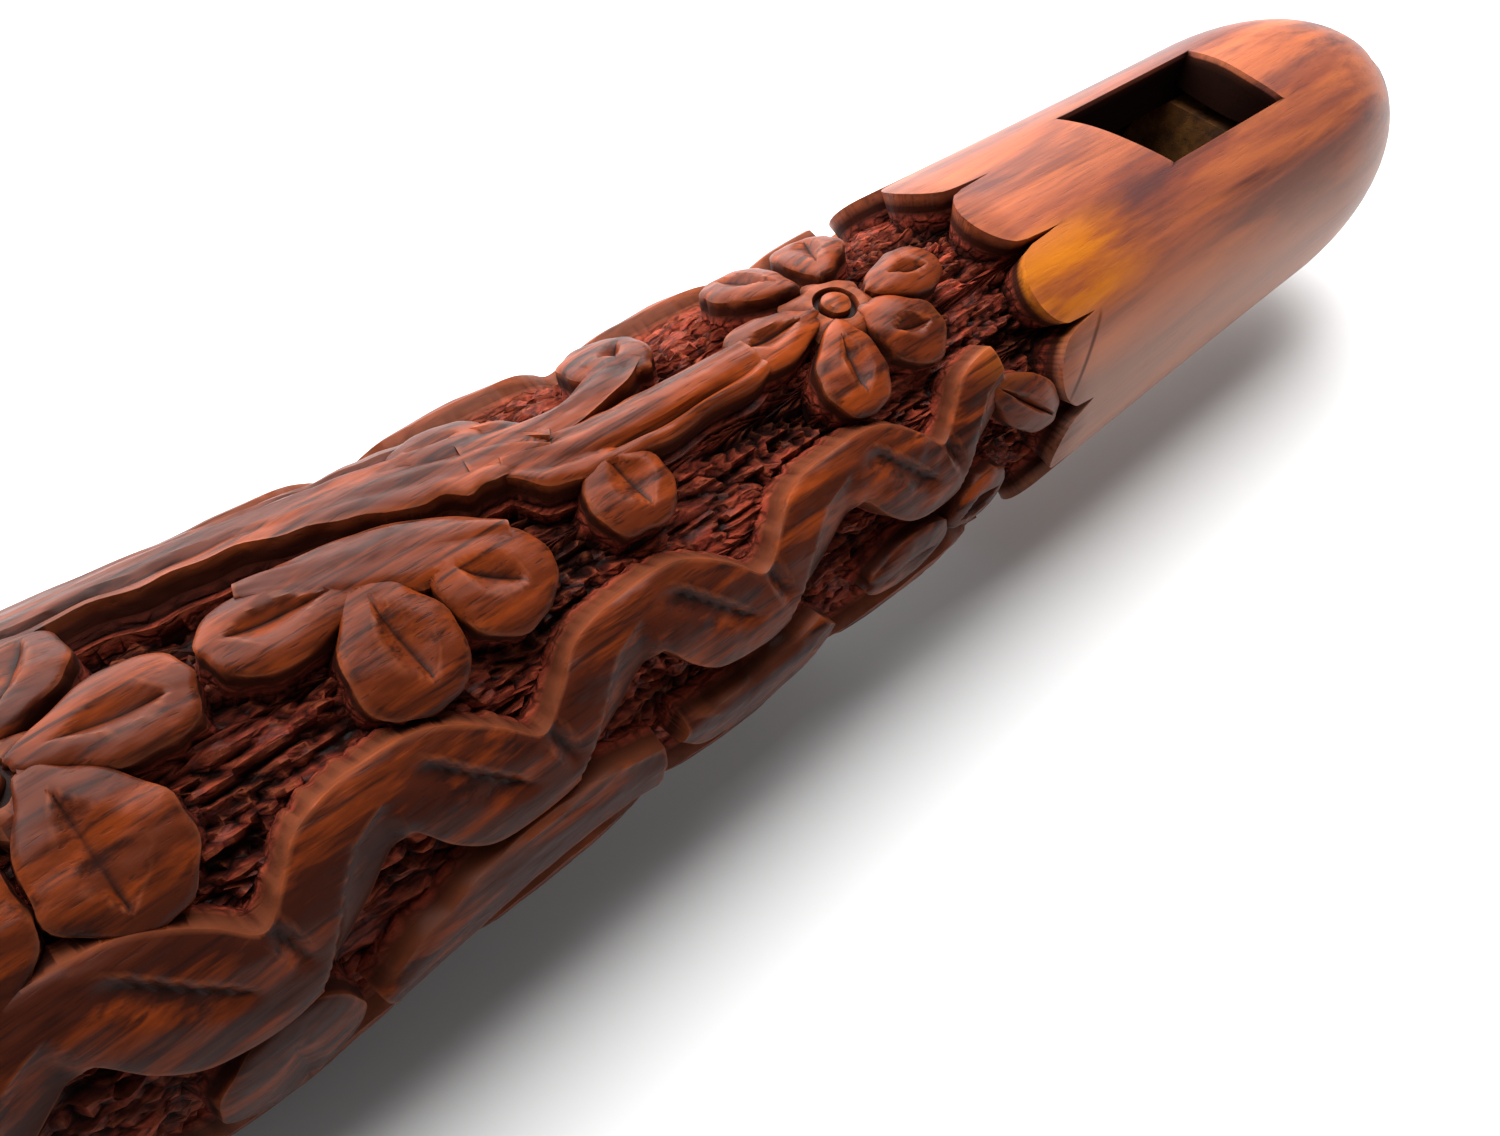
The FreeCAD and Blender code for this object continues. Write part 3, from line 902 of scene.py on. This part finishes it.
def grainGroup():
    # long wood grain along X: broad figure, fine streaks and short open pores
    group, inside, outside = nodeGroup(
        "hardwoodGrain",
        [("Vector", "NodeSocketVector", None), ("Light", "NodeSocketColor", srgb(190, 118, 72)),
         ("Middle", "NodeSocketColor", srgb(140, 72, 42)), ("Dark", "NodeSocketColor", srgb(62, 28, 18)),
         ("Pores", "NodeSocketFloat", 1.0)],
        [("Color", "NodeSocketColor"), ("Height", "NodeSocketFloat"), ("Streak", "NodeSocketFloat")])
    w = Wires(group)
    at = inside.outputs
    wobbleAt = w.scaled(at["Vector"], (18, 60, 60))
    wobble = w.node("ShaderNodeTexNoise", {"Vector": wobbleAt, "Scale": 1.0, "Detail": 2.0})
    flow = w.bend(at["Vector"], wobble.outputs["Color"], 0.0016)
    broad = w.noise(flow, (16, 190, 190), 3.0, 0.5, 0.6)
    fine = w.noise(flow, (45, 1300, 1300), 5.0, 0.65)
    veins = w.noise(flow, (22, 420, 420), 4.0, 0.6, 0.4, shift=(3, 1, 7))
    pores = w.noise(flow, (420, 4200, 4200), 2.0, 0.5)
    poreMask = w.times(w.ramp(pores, 0.60, 0.70), at["Pores"])
    tone = w.mix(w.ramp(broad, 0.36, 0.64), at["Middle"], at["Light"])
    tone = w.mix(w.ramp(fine, 0.42, 0.70, 0.0, 0.55), tone, at["Middle"])
    veinMask = w.ramp(veins, 0.56, 0.70)
    tone = w.mix(w.times(veinMask, 0.8), tone, at["Dark"])
    tone = w.mix(w.times(poreMask, 0.75), tone, at["Dark"])
    height = w.less(w.times(fine, 0.35), w.times(poreMask, 0.5))
    for key, value in (("Color", tone), ("Height", height), ("Streak", veinMask)):
        w.put(outside.inputs[key], value)
    return group


def fibreGroup():
    # torn, fibrous wood where the ground was cut out
    group, inside, outside = nodeGroup(
        "tornFibre",
        [("Vector", "NodeSocketVector", None), ("Bright", "NodeSocketColor", srgb(158, 64, 44)),
         ("Deep", "NodeSocketColor", srgb(44, 12, 8))],
        [("Color", "NodeSocketColor"), ("Height", "NodeSocketFloat")])
    w = Wires(group)
    at = inside.outputs
    strands = w.noise(at["Vector"], (420, 2300, 2300), 6.0, 0.7, 0.5)
    lumps = w.noise(at["Vector"], (300, 520, 520), 5.0, 0.65)
    both = w.plus(w.times(strands, 0.6), w.times(lumps, 0.4))
    # short chips with painted shade in the gaps between them
    wobble = w.node("ShaderNodeTexNoise", {"Vector": at["Vector"], "Scale": 700.0})
    bent = w.bend(at["Vector"], wobble.outputs["Color"], 0.0008)
    chips = w.node("ShaderNodeTexVoronoi", {"Vector": w.scaled(bent, (420, 1150, 1150)), "Scale": 1.0},
                   feature="DISTANCE_TO_EDGE")
    gap = w.ramp(chips.outputs["Distance"], 0.02, 0.16)
    # the fibres' own colour, darker where they lie low and lighter where they stand high: painted shade and
    # highlight that follow the bump
    tone = w.mix(w.ramp(both, 0.36, 0.62), at["Deep"], at["Bright"])
    # painted highlight on the highest lumps
    tone = w.mix(w.ramp(both, 0.58, 0.72, 0.0, 0.6), tone, srgb(196, 104, 78))
    w.put(outside.inputs["Color"], w.mix(w.ramp(gap, 0.0, 1.0, 0.62, 0.0), tone, at["Deep"]))
    w.put(outside.inputs["Height"], w.plus(both, w.times(gap, 0.35)))
    return group


grain = grainGroup()
fibre = fibreGroup()


def newMaterial(name):
    material = bpy.data.materials.new(name)
    material.use_nodes = True
    w = Wires(material.node_tree)
    place = w.node("ShaderNodeTexCoord").outputs["Object"]
    return material, w, material.node_tree.nodes["Principled BSDF"], place


woodLook = {"gloss": 0.38, "groundGloss": 0.88, "grainBump": 0.16, "facets": 0.9, "fibreBump": 1.0,
            "shine": {"Specular IOR Level": 0.06, "Coat Weight": 0.06, "Coat Roughness": 0.24}}


def carvedWood():
    material, w, shader, place = newMaterial("oiledCarvedRosewood")
    sunk = w.node("ShaderNodeAttribute", attribute_name="sunk").outputs["Fac"]
    wearAndShade = w.node("ShaderNodeAttribute", attribute_name="wearAndShade").outputs["Fac"]
    parts = w.node("ShaderNodeSeparateXYZ", {"Vector": place}).outputs
    plain = w.grain(place, srgb(152, 84, 56), srgb(118, 62, 46), srgb(74, 42, 38), 0.2)
    stained = w.grain(place, srgb(112, 46, 15), srgb(66, 23, 9), srgb(22, 8, 5), 0.8)
    torn = w.node("ShaderNodeGroup", {"Vector": place}, node_tree=fibre)
    blot = w.noise(place, (60, 160, 160), 3.0)
    # the bare head is paler than the oiled carving
    edgeX = w.plus(parts["X"], w.times(blot, 0.006))
    headOnly = w.ramp(edgeX, 0.116, 0.121)
    # blotches of smoky brown and of orange on the bare head
    turn = w.maths("ARCTAN2", w.times(parts["Y"], -1.0), w.less(parts["Z"], axisHeight))
    smoke = w.noise(place, (32, 260, 260), 5.0, 0.62, 0.3, shift=(5, 2, 0))
    bare = w.mix(w.ramp(smoke, 0.47, 0.62, 0.0, 0.9), plain["Color"], srgb(78, 48, 46))
    bare = w.mix(w.ramp(smoke, 0.46, 0.34, 0.0, 0.55), bare, srgb(168, 92, 52))
    # painted reflection: paler and pinker on the near lower side, standing in for the sheen of the pale floor
    bare = w.mix(w.ramp(turn, 0.75, 1.35, 0.0, 0.62), bare, srgb(160, 120, 102))
    # one thin knife line across the plain wood
    slant = w.plus(turn, w.times(w.less(parts["X"], 0.115), 72.7))
    knife = w.ramp(w.off(slant, 1.326), 0.008, 0.03, 1.0, 0.0)
    knife = w.times(knife, w.ramp(w.off(parts["X"], 0.1181), 0.0026, 0.003, 1.0, 0.0))
    bare = w.mix(w.times(knife, 0.85), bare, srgb(58, 24, 16))
    skin = w.mix(headOnly, stained["Color"], bare)
    # sapwood: a golden patch where the plain head meets the carving, on the near side
    patch = w.times(w.ramp(w.off(edgeX, 0.121), 0.004, 0.012, 1.0, 0.0),
                    w.ramp(w.off(turn, 0.64), 0.14, 0.36, 1.0, 0.0))
    sap = w.times(patch, w.ramp(smoke, 0.66, 0.46, 0.35, 1.0))
    skin = w.mix(sap, skin, w.mix(w.ramp(smoke, 0.4, 0.56), srgb(172, 98, 22), srgb(136, 66, 24)))
    # painted shade: darker towards the foot, where the light falls off
    paintedFootShade = w.ramp(parts["X"], 0.042, 0.085, 0.55, 0.0)
    skin = w.mix(paintedFootShade, skin, srgb(50, 20, 10))
    # painted shade: the carving is darker on the near side, away from the key light, with orange showing
    # through in places
    carvedOnly = w.ramp(parts["X"], 0.105, 0.12, 1.0, 0.0)
    nearSideShade = w.times(w.ramp(turn, 0.35, 1.0, 0.0, 0.68), carvedOnly)
    skin = w.mix(nearSideShade, skin, srgb(44, 16, 8))
    flecks = w.noise(place, (110, 620, 620), 4.0, 0.6)
    glow = w.times(w.ramp(flecks, 0.50, 0.66, 0.0, 0.6), carvedOnly)
    skin = w.mix(glow, skin, srgb(140, 58, 14))
    streaks = w.noise(place, (60, 1500, 1500), 4.0, 0.6, 0.2, shift=(9, 4, 2))
    darkLines = w.times(w.ramp(streaks, 0.50, 0.64, 0.0, 0.8), w.less(1.0, headOnly))
    skin = w.mix(darkLines, skin, srgb(24, 9, 6))
    wallMask = w.ramp(sunk, 0.16, 0.42)
    groundMask = w.ramp(sunk, 0.60, 0.84)
    creviceShadeMask = w.ramp(sunk, 1.02, 1.32)
    # painted shade on the cut walls and in the bore: the stained wood mixed mostly with near-black
    wall = w.mix(0.2, srgb(30, 11, 8), stained["Color"])
    colour = w.mix(wallMask, skin, wall)
    colour = w.mix(groundMask, colour, torn.outputs["Color"])
    # painted shade at the bottom of the deepest cuts
    colour = w.mix(w.times(creviceShadeMask, 0.88), colour, srgb(26, 9, 7))
    # more painted shade towards the foot, over the ground and walls as well
    colour = w.mix(w.ramp(parts["X"], 0.042, 0.098, 0.36, 0.0), colour, srgb(30, 8, 3))
    # painted shade in tucked-in corners, on cut faces and in the bore
    colour = w.mix(w.ramp(wearAndShade, -0.2, -0.9, 0.0, 0.85), colour, srgb(20, 7, 4))
    # lighter wear on edges that stand out
    colour = w.mix(w.ramp(wearAndShade, 0.3, 0.9, 0.0, 0.16), colour, srgb(170, 92, 56))
    w.put(shader.inputs["Base Color"], colour)
    rough = w.plus(woodLook["gloss"], w.ramp(plain["Height"], 0.0, 0.3, 0.10, -0.05))
    rough = w.plus(rough, w.times(wallMask, woodLook["groundGloss"] - woodLook["gloss"]))
    w.put(shader.inputs["Roughness"], rough)
    for key, value in woodLook["shine"].items():
        shader.inputs[key].default_value = value
    facets = w.noise(place, (260, 420, 420), 2.0, 0.5)
    heights = w.plus(w.times(plain["Height"], woodLook["grainBump"]),
                      w.times(facets, w.ramp(parts["X"], 0.105, 0.12, woodLook["facets"], 0.0)))
    heights = w.plus(heights,
                      w.times(w.times(torn.outputs["Height"], groundMask),
                              woodLook["fibreBump"]))
    w.bump(shader, heights, 0.9, 0.0006)
    return material


def blockWood():
    # pale and close-grained, darkened in noise blotches
    material, w, shader, place = newMaterial("cedarBlock")
    wood = w.grain(place, srgb(176, 118, 54), srgb(120, 72, 32), srgb(62, 34, 18), 0.5)
    darkBlotches = w.noise(place, (150, 200, 200), 4.0)
    colour = w.mix(w.ramp(darkBlotches, 0.42, 0.62, 0.0, 0.8), wood["Color"], srgb(44, 24, 14))
    w.put(shader.inputs["Base Color"], colour)
    w.put(shader.inputs["Roughness"], w.ramp(darkBlotches, 0.3, 0.7, 0.52, 0.68))
    w.bump(shader, wood["Height"], 0.6, 0.0002)
    return material


def waxedThread():
    # twisted strands, glossy where the wax is thick
    material, w, shader, place = newMaterial("waxedThread")
    parts = w.node("ShaderNodeSeparateXYZ", {"Vector": place}).outputs
    turn = w.maths("ARCTAN2", parts["Y"], w.less(parts["Z"], axisHeight))
    twist = w.maths("SINE", w.plus(w.times(turn, 150.0), w.times(parts["X"], 9000.0)))
    wax = w.noise(place, (300, 300, 300), 4.0)
    fuzz = w.noise(place, (2600, 2600, 2600), 3.0)
    colour = w.mix(w.ramp(twist, -1.0, 1.0), srgb(150, 116, 66), srgb(196, 164, 108))
    colour = w.mix(w.ramp(wax, 0.45, 0.7, 0.0, 0.6), colour, srgb(120, 84, 44))
    w.put(shader.inputs["Base Color"], w.mix(w.ramp(fuzz, 0.4, 0.7, 0.0, 0.35), colour, srgb(214, 188, 138)))
    w.put(shader.inputs["Roughness"], w.ramp(wax, 0.35, 0.7, 0.66, 0.40))
    relief = w.plus(w.times(twist, 0.6), fuzz)
    w.bump(shader, relief, 0.5, 0.00008)
    return material


carvedFinish = carvedWood()
threadFinish = waxedThread()
shade(head, carvedFinish, headRadius, lambda x, y, up: x > 124 and abs(y) < 7, (30.4, 200))
shade(middle, carvedFinish, middleRadius, lambda x, y, up: abs(y) < 6.5 and up > 0, (-139.3, 29.3))
shade(foot, carvedFinish, footRadius, lambda x, y, up: False, (-174.5, -140.4))
for lapping in (upperLapping, lowerLapping):
    lapping.data.materials.append(threadFinish)
    lapping.data.shade_smooth()
    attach(lapping, "middle")
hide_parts("upper_tenon_lapping")
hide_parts("lower_tenon_lapping")
for piece, body in ((head, "head"), (middle, "middle"), (foot, "foot")):
    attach(piece, body)
    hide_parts(body + "_joint")
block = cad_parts["fipple_block"]
block.data.materials.clear()
block.data.materials.append(blockWood())


print("floor, light and camera")

light = {"world": 0.27, "sky": (1, 1, 1), "keyPower": 35.0, "keySize": 1.2, "floor": 0.62,
         "keyAt": (0.14, 0.40, 0.48), "keyAim": (0.10, 0, 0.015)}

floorMesh = bmesh.new()
bmesh.ops.create_grid(floorMesh, x_segments=2, y_segments=2, size=2.0)
floor = makeObject(floorMesh, "floor")
floor.location.z = -0.0002
floorFinish = bpy.data.materials.new("paleFloor")
floorFinish.use_nodes = True
floorShader = floorFinish.node_tree.nodes["Principled BSDF"]
floorShader.inputs["Base Color"].default_value = (light["floor"],) * 3 + (1,)
floorShader.inputs["Roughness"].default_value = 0.9
floorShader.inputs["Specular IOR Level"].default_value = 0.0
floor.data.materials.append(floorFinish)

world = bpy.data.worlds.new("studio")
scene.world = world
world.use_nodes = True
sky = world.node_tree.nodes["Background"].inputs
sky["Color"].default_value = light["sky"] + (1,)
sky["Strength"].default_value = light["world"]


lamp = bpy.data.lights.new("keyLight", "AREA")
lamp.size = light["keySize"]
lamp.energy = light["keyPower"]
lampHolder = bpy.data.objects.new("keyLight", lamp)
lampHolder.location = light["keyAt"]
aim = Vector(light["keyAim"]) - Vector(light["keyAt"])
lampHolder.rotation_euler = aim.to_track_quat("-Z", "Y").to_euler()
scene.collection.objects.link(lampHolder)

scene.view_settings.view_transform = "Standard"

camera = {"nearestX": 48.0, "unit": 15.0, "distance": 5.1791, "turn": 32.767, "lens": 31.2,
          "right": (0.71585, 0.11921, 0.68800), "up": (0.49583, 0.60698, -0.62107), "roll": 3.0}


def placeCamera():
    data = bpy.data.cameras.new("camera")
    data.lens = camera["lens"]
    data.sensor_width = 36.0
    data.clip_start = 0.002
    holder = bpy.data.objects.new("camera", data)
    turn = math.radians(camera["turn"])
    away = camera["distance"] * camera["unit"] * mm
    holder.location = (camera["nearestX"] * mm, -away * math.sin(turn), axisHeight + away * math.cos(turn))
    roll = math.radians(camera["roll"])

    def inFrame(v):
        # along the flute, towards the window's middle and towards the near side
        ahead, out, side = v
        up = out * math.cos(roll) - side * math.sin(roll)
        near = out * math.sin(roll) + side * math.cos(roll)
        return Vector((ahead, -near, up))

    right, up = inFrame(camera["right"]), inFrame(camera["up"])
    back = right.cross(up)
    facing = Matrix((right, up, back)).transposed().to_4x4()
    holder.matrix_world = Matrix.Translation(holder.location) @ facing
    scene.collection.objects.link(holder)
    scene.camera = holder


placeCamera()
